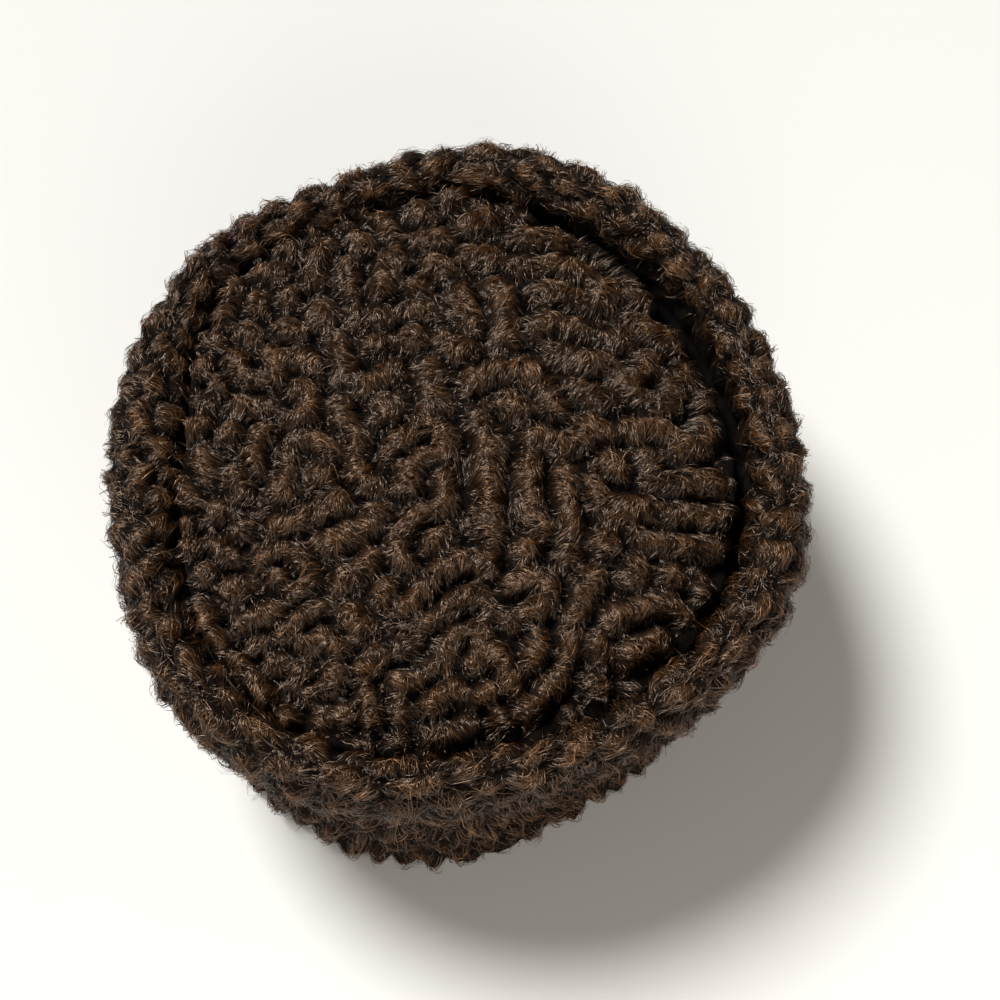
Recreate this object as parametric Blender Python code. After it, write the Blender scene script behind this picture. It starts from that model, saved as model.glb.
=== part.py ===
"""Persian lamb hat: a side band, a padded rolled cuff and a domed crown tip of dark brown curled fur.

The hat stands on the edge of its band. X runs across the head, -Y is the front and +Z is up.
"""

import math

import bmesh
import bpy
import numpy as np

MM = 0.001

# Driving sizes, in millimetres
HEAD_WIDTH = 164.0  # opening for the head, side to side
HEAD_LENGTH = 194.0  # opening for the head, front to back
HAT_HEIGHT = 92.0  # table to the crest of the cuff
WALL = 12.0  # side band where it shows, skin, padding and pile together
NECK = 5.0  # side band where the cuff covers it
CUFF_THICKNESS = 20.0  # through the padded roll, from its inner side to its outer side
CUFF_HEIGHT = 44.0  # from the roll's lower edge to its crest
TIP_THICKNESS = 9.0  # crown disc, skin, padding and pile together
TIP_DROP = 2.0  # from the cuff's crest down to the middle of the crown
CREVICE_DEPTH = 18.0  # from the cuff's crest down to the lowest edge of the crown
CLEARANCE = 0.3  # between pieces that touch

# Shape of the sections, in millimetres
BAND_EASE = 1.0  # small bevel at the band's inner lower edge
BAND_ROUND = 4.0  # rounding of the band's outer lower edge
SHELF_ROUND = 3.0  # rounding of the band's shelf under the cuff
CREST_ROUND = 10.5  # height of the arc over the cuff's crest
CUFF_TUCK = 10.0  # height of the arc under the cuff
CUFF_LEAN = 5.0  # how far the cuff draws in from its crest to its lower edge
LEAN_POWER = 1.5  # how late the cuff begins to draw in, 1 for evenly
CUFF_BULGE = 1.5  # how far the cuff's outer side swells between them
TIP_ROUND = 3.0  # rounding of the crown's edge
DOME_POWER = 3  # how flat the crown's middle is, 2 for an evenly round dome

# Curls of the fur, in millimetres
CURL_PITCH = 14.0  # from one crest of fur to the next
CURL_DEPTH = 3.4  # from a crest down to the parting beside it
CREST_FULLNESS = 1.1  # how flat the curls' crests are beside their partings
MARK_SPREAD = 4.2  # how far a charted curl or pit spreads from its line
FIELD_CELL = 2.0  # cell of the sheets that the curls are worked out on
GROWTH_RATIO = 0.6  # how strongly the pattern grows, more for fuller ridges
GROWTH_COUNT = 9  # steps of growth, more for longer and straighter ridges
NOISE_RATIO = 0.25  # the noise that it grows from, less lets the marks rule more of the sheet

# How the grids are divided
BAND_COLUMNS = 92
CUFF_COLUMNS = 136
TIP_CELLS = 34
ROUND_ANGLE = math.radians(80)  # edges sharper than this stay sharp

# Outline round the hat, a row each 22.5 degrees from +X towards the back (+Y). Shares of: plan, the
# oval of the head; roll, CUFF_THICKNESS; crest, HAT_HEIGHT; sink, CREVICE_DEPTH; wall, WALL.
OUTLINE_COLUMNS = ("plan", "roll", "crest", "sink", "wall")
OUTLINE = (
    (1.03, 0.98, 1.00, 0.95, 1.00),
    (1.01, 0.98, 0.99, 1.00, 1.00),
    (1.02, 0.95, 0.99, 1.00, 1.00),
    (1.03, 1.06, 0.98, 0.85, 1.00),
    (1.02, 1.02, 1.00, 0.50, 1.00),
    (0.99, 0.92, 1.00, 0.45, 1.00),
    (1.07, 0.95, 0.99, 0.45, 1.00),
    (1.03, 1.12, 1.00, 0.40, 1.00),
    (0.97, 1.26, 0.99, 0.35, 1.05),
    (1.00, 1.06, 1.00, 0.35, 1.05),
    (1.06, 0.94, 0.99, 0.40, 1.05),
    (1.04, 0.84, 1.00, 0.55, 1.15),
    (0.99, 0.80, 1.00, 0.75, 1.20),
    (0.98, 0.80, 0.99, 0.95, 0.80),
    (1.03, 0.82, 0.99, 1.00, 0.70),
    (1.05, 1.02, 1.00, 1.00, 0.90),
)

# Main curls of the crown, in shares of half the head's width and length: start x, y and end x, y
CROWN_CURLS = (
    (0.12, 0.14, 0.12, -0.62),
    (0.32, 0.00, 0.32, -0.48),
    (0.02, 0.22, 0.19, 0.29),
    (0.19, 0.29, 0.37, 0.16),
    (0.46, -0.38, 0.38, -0.53),
    (0.44, -0.57, 0.45, -0.75),
    (0.54, -0.65, 0.67, -0.58),
    (0.67, -0.58, 0.86, -0.62),
    (0.58, -0.84, 0.74, -0.71),
    (0.19, -0.67, 0.35, -0.58),
    (0.54, -0.24, 1.02, -0.24),
    (0.62, -0.13, 1.04, -0.13),
    (-0.20, -0.62, 0.06, -0.55),
    (-0.69, -0.68, -0.25, -0.45),
    (-0.56, -0.40, -0.24, -0.27),
    (-0.78, 0.06, -0.49, 0.18),
    (-0.88, -0.58, -0.64, -0.94),
)

# Deep pits between the crown's curls, in the same shares: x, y
CROWN_PITS = (
    (-0.08, -0.72),
    (-0.14, -0.38),
    (-0.09, -0.13),
    (-0.23, -0.81),
    (-0.64, -0.50),
    (0.21, -0.31),
    (0.53, -0.02),
    (-0.06, 0.10),
)


def outline(name, angle):
    """A column of OUTLINE at an angle round the hat, on a smooth curve through its rows."""
    column = OUTLINE_COLUMNS.index(name)
    rows = len(OUTLINE)
    place = angle / math.tau * rows
    row = math.floor(place)
    t = place - row
    before, here, after, beyond = (OUTLINE[(row + k) % rows][column] for k in (-1, 0, 1, 2))
    slope = (after - before) / 2
    next_slope = (beyond - here) / 2
    rise = after - here
    square = 3 * rise - 2 * slope - next_slope
    cube = slope + next_slope - 2 * rise
    return here + t * (slope + t * (square + t * cube))


def head_radius(angle):
    """Plan radius of the opening for the head."""
    oval = 1 / math.hypot(2 * math.cos(angle) / HEAD_WIDTH, 2 * math.sin(angle) / HEAD_LENGTH)
    return oval * outline("plan", angle)


def crest_height(angle):
    """Height of the cuff's crest over the table."""
    return HAT_HEIGHT * outline("crest", angle)


def tip_edge_height(angle):
    """Height of the crown's edge, down in the crevice beside the cuff."""
    return crest_height(angle) - CREVICE_DEPTH * outline("sink", angle)


def seat_height(angle):
    """Height of the underside of the crown's edge, where it lies on the band."""
    return tip_edge_height(angle) - TIP_THICKNESS


def curl_field(width, height, seed, marks=()):
    """Heights of the curls, 0 in a parting to 1 on a crest, over a sheet that repeats at its edges.

    A seeded noise grows at one wavelength, CURL_PITCH, until it settles into the winding ridges of
    curled lamb. Each mark (x0, y0, x1, y1, sign) starts it off with a ridge or a pit of its own.
    """
    columns = round(width / FIELD_CELL)
    rows = round(height / FIELD_CELL)
    field = NOISE_RATIO * np.random.default_rng(seed).standard_normal((rows, columns))
    y, x = np.mgrid[0:rows, 0:columns] * FIELD_CELL
    for x0, y0, x1, y1, sign in marks:
        run = max((x1 - x0) ** 2 + (y1 - y0) ** 2, FIELD_CELL**2)
        along = np.clip(((x - x0) * (x1 - x0) + (y - y0) * (y1 - y0)) / run, 0, 1)
        away = np.hypot(x - x0 - along * (x1 - x0), y - y0 - along * (y1 - y0))
        field += sign * np.exp(-((away / MARK_SPREAD) ** 2))
    waves_x = np.fft.fftfreq(columns, FIELD_CELL)
    waves_y = np.fft.fftfreq(rows, FIELD_CELL)
    ring = CURL_PITCH**2 * (waves_x[None, :] ** 2 + waves_y[:, None] ** 2)
    damping = 1 / (2 - GROWTH_RATIO + (1 - ring) ** 2)
    for _ in range(GROWTH_COUNT):
        field = np.fft.ifft2(damping * np.fft.fft2(2 * field - field**3)).real
    return 0.5 + 0.5 * np.tanh(CREST_FULLNESS * field / field.std())


def sample(field, x, y):
    """Height of a curl field at a place on its sheet, in millimetres."""
    rows, columns = field.shape
    u = x / FIELD_CELL
    v = y / FIELD_CELL
    i = math.floor(u)
    j = math.floor(v)
    s = u - i
    t = v - j
    near = (1 - s) * field[j % rows, i % columns] + s * field[j % rows, (i + 1) % columns]
    far = (1 - s) * field[(j + 1) % rows, i % columns] + s * field[(j + 1) % rows, (i + 1) % columns]
    return (1 - t) * near + t * far


def arc(centre, across, up, start, end, steps):
    """Points (radius, height) along an elliptic arc between two angles, in degrees."""
    points = []
    for step in range(steps + 1):
        turn = math.radians(start + (end - start) * step / steps)
        points.append((centre[0] + across * math.cos(turn), centre[1] + up * math.sin(turn)))
    return points


def curl_section(section, furred, field, column_x):
    """Sink the furred points of a section, from first to last, by the depth of the curls there."""
    first, last = furred
    points = [list(point) for point in section]
    run = 0.0
    for k in range(first + 1, last):
        before = section[k - 1]
        here = section[k]
        after = section[k + 1]
        run += math.dist(before, here)
        slope = math.dist(before, after)
        outward = ((after[1] - before[1]) / slope, -(after[0] - before[0]) / slope)
        depth = CURL_DEPTH * (1 - sample(field, column_x, run))
        points[k][0] -= depth * outward[0]
        points[k][1] -= depth * outward[1]
    return points


def band_section(angle):
    """Closed section of the side band, up its outer side and down its inner one."""
    head = head_radius(angle)
    neck = head + NECK
    foot = head + WALL * outline("wall", angle)
    shelf = HAT_HEIGHT - CUFF_HEIGHT
    top = seat_height(angle) - CLEARANCE
    rows = 7
    points = [(head, BAND_EASE), (head + BAND_EASE, 0.0)]
    first_fur = len(points)
    points += arc((foot - BAND_ROUND, BAND_ROUND), BAND_ROUND, BAND_ROUND, -90, 0, 2)
    low = BAND_ROUND
    high = shelf - SHELF_ROUND
    points += [(foot, low + (high - low) * row / rows) for row in range(1, rows)]
    points += arc((foot - SHELF_ROUND, high), SHELF_ROUND, SHELF_ROUND, 0, 90, 1)
    last_fur = len(points) - 1
    points += [(neck, shelf), (neck, top), (head, top)]
    return points, (first_fur, last_fur)


def cuff_section(angle):
    """Closed section of the rolled cuff, up its outer side, over the crest and down its inner one."""
    inner = head_radius(angle) + NECK + CLEARANCE
    thickness = CUFF_THICKNESS * outline("roll", angle)
    outer = inner + thickness
    base = HAT_HEIGHT - CUFF_HEIGHT + CLEARANCE
    crest = crest_height(angle)
    rows = 4
    points = [(inner, base)]
    first_fur = len(points)
    tuck = thickness / 2
    points += arc((outer - CUFF_LEAN - tuck, base + CUFF_TUCK), tuck, CUFF_TUCK, -90, 0, 3)
    low = base + CUFF_TUCK
    high = crest - CREST_ROUND
    for row in range(1, rows):
        share = row / rows
        height = low + (high - low) * share
        lean = CUFF_LEAN * (1 - share) ** LEAN_POWER
        points.append((outer - lean + CUFF_BULGE * math.sin(math.pi * share), height))
    points += arc((outer - thickness / 2, high), thickness / 2, CREST_ROUND, 0, 180, 9)
    last_fur = len(points) - 1
    points.append((inner, (base + high) / 2))
    return points, (first_fur, last_fur)


def loft_ring(name, section_at, columns, seed):
    """Build a closed ring from the sections round it, with curls on its furred side."""
    width = math.tau * (HEAD_WIDTH + HEAD_LENGTH) / 4 + math.tau * WALL
    field = curl_field(width, 2 * HAT_HEIGHT, seed)
    mesh = bmesh.new()
    rings = []
    for column in range(columns):
        angle = math.tau * column / columns
        section, furred = section_at(angle)
        section = curl_section(section, furred, field, width * column / columns)
        rings.append(
            [
                mesh.verts.new((radius * math.cos(angle) * MM, radius * math.sin(angle) * MM, height * MM))
                for radius, height in section
            ]
        )
    for here, there in zip(rings, rings[1:] + rings[:1]):
        for k in range(len(here)):
            after = (k + 1) % len(here)
            mesh.faces.new((here[k], there[k], there[after], here[after]))
    return finish_piece(name, mesh)


def disc_place(x, y):
    """Share of the radius and angle of a point of a square grid, bent to fill a disc."""
    across = x * math.sqrt(1 - y**2 / 2)
    up = y * math.sqrt(1 - x**2 / 2)
    return math.hypot(across, up), math.atan2(up, across) % math.tau


def tip_height(share, angle):
    """Height of the crown's top at a share of its radius: level in the middle, sinking to its edge."""
    middle = HAT_HEIGHT - TIP_DROP
    edge = tip_edge_height(angle)
    return edge + (middle - edge) * (1 - share**DOME_POWER)


def build_tip():
    """The crown tip: a furred top, an edge beside the cuff and a domed underside seated on the band."""
    sheet = HEAD_LENGTH + 4 * CURL_PITCH
    marks = [(*curl, 1) for curl in CROWN_CURLS] + [(*pit, *pit, -1) for pit in CROWN_PITS]
    marks = [
        (
            (sheet + x0 * HEAD_WIDTH) / 2,
            (sheet + y0 * HEAD_LENGTH) / 2,
            (sheet + x1 * HEAD_WIDTH) / 2,
            (sheet + y1 * HEAD_LENGTH) / 2,
            sign,
        )
        for x0, y0, x1, y1, sign in marks
    ]
    field = curl_field(sheet, sheet, seed=11, marks=marks)

    mesh = bmesh.new()
    bmesh.ops.create_grid(mesh, x_segments=TIP_CELLS, y_segments=TIP_CELLS, size=1.0)
    rim = [edge for edge in mesh.edges if edge.is_boundary]
    places = {vert: disc_place(vert.co.x, vert.co.y) for vert in mesh.verts}
    for vert, (share, angle) in places.items():
        radius = share * (head_radius(angle) + NECK)
        x = radius * math.cos(angle)
        y = radius * math.sin(angle)
        height = tip_height(share, angle)
        if vert.is_boundary:
            height -= TIP_ROUND
        else:
            height -= CURL_DEPTH * (1 - sample(field, sheet / 2 + x, sheet / 2 + y))
        vert.co = (x * MM, y * MM, height * MM)

    # Rings of the edge and the underside, as shares of the head's radius and of the dome's rise
    lower_rings = ((None, 0.0), (1.0, 0.0), (0.7, 0.66), (0.35, 0.96))
    under_middle = HAT_HEIGHT - TIP_DROP - TIP_THICKNESS
    for head_share, rise in lower_rings:
        new = bmesh.ops.extrude_edge_only(mesh, edges=rim)["geom"]
        rim = [item for item in new if isinstance(item, bmesh.types.BMEdge) and item.is_boundary]
        for vert in {vert for edge in rim for vert in edge.verts}:
            angle = math.atan2(vert.co.y, vert.co.x) % math.tau
            head = head_radius(angle)
            radius = head + NECK if head_share is None else head * head_share
            seat = seat_height(angle)
            height = seat + (under_middle - seat) * rise
            vert.co = (radius * math.cos(angle) * MM, radius * math.sin(angle) * MM, height * MM)
    bmesh.ops.contextual_create(mesh, geom=rim)
    return finish_piece("crown_tip", mesh)


def finish_piece(name, mesh):
    """Close a piece's faces outward, shade it smooth and give it an object."""
    bmesh.ops.triangulate(mesh, faces=mesh.faces, quad_method="SHORT_EDGE")
    bmesh.ops.recalc_face_normals(mesh, faces=mesh.faces)
    data = bpy.data.meshes.new(name)
    mesh.to_mesh(data)
    mesh.free()
    data.shade_smooth()
    data.set_sharp_from_angle(angle=ROUND_ANGLE)
    return bpy.data.objects.new(name, data)


def add_fur(piece, colour):
    """A matt, dark brown fur for a piece, in linear colour."""
    fur = bpy.data.materials.new(piece.name)
    fur.use_nodes = True
    shader = fur.node_tree.nodes["Principled BSDF"]
    shader.inputs["Base Color"].default_value = (*colour, 1)
    shader.inputs["Roughness"].default_value = 0.75
    shader.inputs["Metallic"].default_value = 0.0
    piece.data.materials.append(fur)


def place_on_origin(pieces, hat):
    """Hang the pieces on one empty, moved so that the hat's outline is centred over the origin."""
    for axis in (0, 1):
        values = [vert.co[axis] for piece in pieces for vert in piece.data.vertices]
        hat.location[axis] = -(min(values) + max(values)) / 2
    for piece in pieces:
        piece.parent = hat


for old in list(bpy.data.objects):
    bpy.data.objects.remove(old)

collection = bpy.data.collections.new("persian_lamb_hat")
bpy.context.scene.collection.children.link(collection)
side_band = loft_ring("side_band", band_section, BAND_COLUMNS, seed=3)
rolled_cuff = loft_ring("rolled_cuff", cuff_section, CUFF_COLUMNS, seed=5)
crown_tip = build_tip()
add_fur(side_band, (0.030, 0.019, 0.012))
add_fur(rolled_cuff, (0.036, 0.023, 0.015))
add_fur(crown_tip, (0.033, 0.021, 0.014))
hat_origin = bpy.data.objects.new("hat_origin", None)
place_on_origin((side_band, rolled_cuff, crown_tip), hat_origin)
for item in (hat_origin, side_band, rolled_cuff, crown_tip):
    collection.objects.link(item)
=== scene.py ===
import math

import bpy
import numpy as np
from mathutils import Matrix, Vector


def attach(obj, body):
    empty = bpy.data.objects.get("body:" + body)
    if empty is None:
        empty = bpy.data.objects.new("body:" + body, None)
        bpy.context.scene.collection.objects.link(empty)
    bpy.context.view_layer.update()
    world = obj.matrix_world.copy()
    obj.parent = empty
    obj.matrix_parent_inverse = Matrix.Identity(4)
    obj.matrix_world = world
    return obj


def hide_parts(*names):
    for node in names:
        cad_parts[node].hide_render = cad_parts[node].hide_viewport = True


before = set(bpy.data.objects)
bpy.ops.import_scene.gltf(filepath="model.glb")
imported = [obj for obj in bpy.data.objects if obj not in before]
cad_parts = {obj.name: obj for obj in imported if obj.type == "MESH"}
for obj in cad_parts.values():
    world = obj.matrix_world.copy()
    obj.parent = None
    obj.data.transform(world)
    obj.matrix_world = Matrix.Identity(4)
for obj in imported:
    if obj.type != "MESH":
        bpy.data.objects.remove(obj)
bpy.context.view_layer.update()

# SIDE BAND. The real piece is a strip of lamb fur sewn into an oval ring round the head, fur outward,
# with its bare skin side towards the head. It stands on its lower edge, and all but its lowest part is
# hidden by the cuff that is turned up over it.

MM = 0.001
HEAD_WIDTH = 164.0
HEAD_LENGTH = 194.0
HAT_HEIGHT = 92.0
WALL = 12.0
NECK = 5.0
CLEARANCE = 0.3  # between pieces that touch
CUFF_THICKNESS = 20.0
CUFF_HEIGHT = 44.0
TIP_THICKNESS = 9.0
CREVICE_DEPTH = 18.0
BAND_ROUND = 4.0
SHELF_ROUND = 3.0
HAT_MIDDLE = (0.139, -3.551)  # the middle of the head's oval, from the middle of the whole hat

# Outline round the hat, a row each 22.5 degrees from +X towards the back. Shares of: plan, the oval of
# the head; roll, CUFF_THICKNESS; crest, HAT_HEIGHT; sink, CREVICE_DEPTH; wall, WALL.
OUTLINE_COLUMNS = ("plan", "roll", "crest", "sink", "wall")
OUTLINE = np.array(
    (
        (1.03, 0.98, 1.00, 0.95, 1.00),
        (1.01, 0.98, 0.99, 1.00, 1.00),
        (1.02, 0.95, 0.99, 1.00, 1.00),
        (1.03, 1.06, 0.98, 0.85, 1.00),
        (1.02, 1.02, 1.00, 0.50, 1.00),
        (0.99, 0.92, 1.00, 0.45, 1.00),
        (1.07, 0.95, 0.99, 0.45, 1.00),
        (1.03, 1.12, 1.00, 0.40, 1.00),
        (0.97, 1.26, 0.99, 0.35, 1.05),
        (1.00, 1.06, 1.00, 0.35, 1.05),
        (1.06, 0.94, 0.99, 0.40, 1.05),
        (1.04, 0.84, 1.00, 0.55, 1.15),
        (0.99, 0.80, 1.00, 0.75, 1.20),
        (0.98, 0.80, 0.99, 0.95, 0.80),
        (1.03, 0.82, 0.99, 1.00, 0.70),
        (1.05, 1.02, 1.00, 1.00, 0.90),
    )
)

CELL = 0.5  # cell of the sheets that the fur is worked out on
FUR_DEPTH = 5.5  # from the crest of a curl down to the parting beside it
UNDERCOAT = 1.0  # from the fur's outside down to the skin at a crest


def outline(name, angle):
    """A column of OUTLINE at angles round the hat, on a smooth curve through its rows."""
    column = OUTLINE[:, OUTLINE_COLUMNS.index(name)]
    place = np.asarray(angle) / math.tau * len(column)
    row = np.floor(place).astype(int)
    t = place - row
    before, here, after, beyond = (column[(row + k) % len(column)] for k in (-1, 0, 1, 2))
    slope = (after - before) / 2
    next_slope = (beyond - here) / 2
    rise = after - here
    square = 3 * rise - 2 * slope - next_slope
    return here + t * (slope + t * (square + t * (slope + next_slope - 2 * rise)))


def head_radius(angle):
    """Plan radius of the opening for the head."""
    oval = 1 / np.hypot(2 * np.cos(angle) / HEAD_WIDTH, 2 * np.sin(angle) / HEAD_LENGTH)
    return oval * outline("plan", angle)


def on_ring(angle, radius, height):
    """Places in space round the middle of the head's oval."""
    across = radius * np.cos(angle) + HAT_MIDDLE[0]
    back = radius * np.sin(angle) + HAT_MIDDLE[1]
    return np.stack((across, back, height), -1)


def tip_edge_height(angle):
    """Height of the crown's edge, down in the crevice beside the cuff."""
    return HAT_HEIGHT * outline("crest", angle) - CREVICE_DEPTH * outline("sink", angle)


def arc(centre, across, up, start, end, steps):
    """Points (radius, height) along an elliptic arc between two angles, in degrees."""
    turns = np.radians(np.linspace(start, end, steps + 1))
    return [(centre[0] + across * np.cos(turn), centre[1] + up * np.sin(turn)) for turn in turns]


def even_section(section, rows):
    """The section's points, one column for each angle, set evenly along its length."""
    points = np.array([np.broadcast_arrays(radius, height) for radius, height in section])
    points = np.moveaxis(points, 2, 0)
    out = np.empty((len(points), rows, 2))
    shares = np.linspace(0, 1, rows)
    for k, line in enumerate(points):
        run = np.concatenate(([0], np.cumsum(np.hypot(*np.diff(line, axis=0).T))))
        for axis in (0, 1):
            out[k, :, axis] = np.interp(shares * run[-1], run, line[:, axis])
    return out


def blur(field, spread):
    """A sheet smoothed over a spread in cells, round both of its edges."""
    rows, columns = field.shape
    waves = np.fft.fftfreq(rows)[:, None] ** 2 + np.fft.fftfreq(columns)[None, :] ** 2
    return np.fft.ifft2(np.fft.fft2(field) * np.exp(-2 * (math.pi * spread) ** 2 * waves)).real


class CurlChart:
    """Distances on a sheet to the nearest curl and to the next one, as curls are laid on it in turn."""

    def __init__(self, columns, rows):
        self.near = np.full((rows, columns), 99.0)
        self.next = np.full((rows, columns), 99.0)

    def lay(self, line, room):
        line = np.asarray(line, float)
        rows, columns = self.near.shape
        low = np.floor((line.min(0) - room) / CELL).astype(int)
        high = np.ceil((line.max(0) + room) / CELL).astype(int)
        high = np.minimum(high, low + (columns - 1, rows - 1))
        x, y = np.arange(low[0], high[0]), np.arange(low[1], high[1])
        place = np.ix_(y % rows, x % columns)
        x, y = x[None, :] * CELL, y[:, None] * CELL
        away = np.full((y.size, x.size), 99.0)
        for (ax, ay), (bx, by) in zip(line[:-1], line[1:]):
            run = max((bx - ax) ** 2 + (by - ay) ** 2, 1e-6)
            share = np.clip(((x - ax) * (bx - ax) + (y - ay) * (by - ay)) / run, 0, 1)
            away = np.minimum(away, np.hypot(x - ax - share * (bx - ax), y - ay - share * (by - ay)))
        near, beyond = self.near[place], self.next[place]
        self.next[place] = np.where(away < near, near, np.minimum(beyond, away))
        self.near[place] = np.minimum(near, away)


def loose_curl(x, y, pitch, longest, turn, length, bend):
    """The line of one curl that lies by itself: a short bent stroke about its middle."""
    half = 0.5 * pitch * longest * length**1.5
    line = [(x, y)]
    for way in (-1, 1):
        px, py = x, y
        arm = []
        for k in range(3):
            px += way * half / 3 * math.cos(turn + bend * k)
            py += way * half / 3 * math.sin(turn + bend * k)
            arm.append((px, py))
        line = arm[::-1] + line if way < 0 else line + arm
    return line


def curl_waves(columns, rows, pitch, seed, lines=(), pits=(), gap=0.8, longest=1.3, steps=12):
    """Ridges of curled lamb with partings between them: charted curls first, then loose ones in the gaps.
    A few steps of growth at one wavelength round them off as the fur does."""
    rng = np.random.default_rng(seed)
    chart = CurlChart(columns, rows)
    room = 1.6 * pitch
    for line in lines:
        chart.lay(line, room)
    tries = int(40 * columns * rows * CELL**2 / pitch**2)
    for px, py, turn, length, bend in rng.random((tries, 5)):
        x, y = px * columns * CELL, py * rows * CELL
        if chart.near[int(y / CELL) % rows, int(x / CELL) % columns] > gap * pitch:
            chart.lay(loose_curl(x, y, pitch, longest, turn * math.tau, length, 1.6 * bend - 0.8), room)
    share = 2 * chart.near / (chart.near + chart.next)
    known = np.clip(2.2 - (chart.near + chart.next) / pitch, 0, 1)
    force = known * np.cos(math.pi * share)
    if pits:
        deep = CurlChart(columns, rows)
        for line in pits:
            deep.lay(line, room)
        hold = np.exp(-((deep.near / (0.16 * pitch)) ** 2))
        force = force * (1 - hold) - hold
    across, down = np.fft.fftfreq(columns)[None, :], np.fft.fftfreq(rows)[:, None]
    ring = (pitch / CELL) ** 2 * (across**2 + down**2)
    damping = 1 / (1.4 + (1 - ring) ** 2)
    field = force + 0.15 * rng.standard_normal((rows, columns))
    for _ in range(steps):
        field = np.fft.ifft2(damping * np.fft.fft2(2 * field - field**3 + 0.7 * force)).real
    return field


def look_up(sheet, u, v, wraps=False):
    """A sheet's values between its cells."""
    rows, columns = sheet.shape[:2]
    v = np.clip(v, 0, rows - 1.001)
    if not wraps:
        u = np.clip(u, 0, columns - 1.001)
    i, j = np.floor(u).astype(int), np.floor(v).astype(int)
    s, t = u - i, v - j
    if sheet.ndim == 3:
        s, t = s[..., None], t[..., None]
    left, right = i % columns, (i + 1) % columns
    near = (1 - s) * sheet[j, left] + s * sheet[j, right]
    far = (1 - s) * sheet[j + 1, left] + s * sheet[j + 1, right]
    return (1 - t) * near + t * far


class Pelt:
    """A sheet of fur laid over a form: where it lies, how high its curls are and which way they run."""

    def __init__(self, form, waves, pitch, wraps, depth=FUR_DEPTH, spacing=None):
        self.wraps = wraps
        power = blur(waves**2, 0.7 * pitch / CELL)
        wave = np.clip(waves / np.sqrt(2 * power + 1e-9), -1, 1)
        phase = np.arccos(wave) / math.pi
        rng = np.random.default_rng(int(100 * pitch))
        lump = blur(rng.standard_normal(waves.shape), 0.28 * pitch / CELL)
        lump /= lump.std()
        crest = np.clip(1 - phase**1.8, 0, 1) ** 0.75 * (1 - 0.12 * np.clip(lump + 0.5, 0, 2.5))
        crest = blur(crest, 0.4 / CELL)
        slope_y, slope_x = np.gradient(wave)
        spread = 0.22 * pitch / CELL
        xx, xy, yy = (blur(product, spread) for product in (slope_x**2, slope_x * slope_y, slope_y**2))
        turn = np.arctan2(2 * xy, xx - yy)
        swirl = blur(rng.standard_normal(waves.shape), 0.3 * pitch / CELL)
        swirl *= 0.55 / swirl.std()
        rows, columns = form.shape[:2]
        crest, turn, phase, swirl = (sheet[:rows, :columns] for sheet in (crest, turn, phase, swirl))
        climb_y, climb_x = (blur(slope, spread)[:rows, :columns] for slope in (slope_y, slope_x))
        along_x = np.roll(form, -1, 1) - np.roll(form, 1, 1)
        if not wraps:
            along_x[:, 0] = form[:, 1] - form[:, 0]
            along_x[:, -1] = form[:, -1] - form[:, -2]
        along_y = np.gradient(form, axis=0)
        facing = np.cross(along_x, along_y)
        facing /= np.linalg.norm(facing, axis=2, keepdims=True) + 1e-12
        skin = form - facing * (UNDERCOAT + depth * (1 - crest))[..., None]
        self.size = (columns * CELL, (rows - 1) * CELL)
        if spacing is None:
            spacing = np.full((rows, columns), pitch)
        flat = np.stack((crest, np.cos(turn), np.sin(turn), phase, climb_x, climb_y, swirl, spacing), 2)
        self.layers = np.concatenate((skin, facing, flat), axis=2)

    def at(self, x, y):
        """Skin (3), facing (3), crest, direction across the curls (2), phase, climb (2), swirl, spacing."""
        found = look_up(self.layers, np.asarray(x) / CELL, np.asarray(y) / CELL, self.wraps)
        half = np.arctan2(found[..., 8], found[..., 7]) / 2
        across = np.stack((np.cos(half), np.sin(half)), axis=-1)
        skin, facing, crest = found[..., 0:3], found[..., 3:6], found[..., 6]
        phase, climb, swirl, spacing = found[..., 9], found[..., 10:12], found[..., 12], found[..., 13]
        return skin, facing, crest, across, phase, climb, swirl, spacing


def nearest_lock(x, y, seed, size):
    """Centre and four chances of the lock that each hair belongs to: locks lie on a jittered grid."""
    chances = np.random.default_rng(seed).random((256, 256, 6))
    i, j = np.floor(x / size).astype(int), np.floor(y / size).astype(int)
    best = np.full(x.shape, np.inf)
    found = np.zeros((len(x), 6))
    for di in (-1, 0, 1):
        for dj in (-1, 0, 1):
            cell = chances[(j + dj) % 256, (i + di) % 256]
            cx, cy = (i + di + cell[:, 0]) * size, (j + dj + cell[:, 1]) * size
            away = np.hypot(x - cx, y - cy)
            nearer = away < best
            best = np.where(nearer, away, best)
            found[nearer] = np.concatenate((np.stack((cx, cy), 1), cell[:, 2:]), axis=1)[nearer]
    return found


def turned(heading, angle):
    """Directions on a sheet, turned by angles."""
    c, s = np.cos(angle), np.sin(angle)
    return np.stack((c * heading[:, 0] - s * heading[:, 1], s * heading[:, 0] + c * heading[:, 1]), 1)


HAIR_STEPS = 6  # steps in which a hair is led over the fur
HAIR_KEPT = (0, 2, 4, 6)  # the steps that its ribbon keeps
HAIR_WIDTH = 0.23
LOOSE_HAIRS = 0.03  # share of the hairs that stand away from their lock
LOCK_SIZE = 2.3
LOCK_GATHER = 0.75  # how far the tips of a lock draw in to its middle
LOWEST_HAIR = 0.3  # no hair comes nearer to the table


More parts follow.
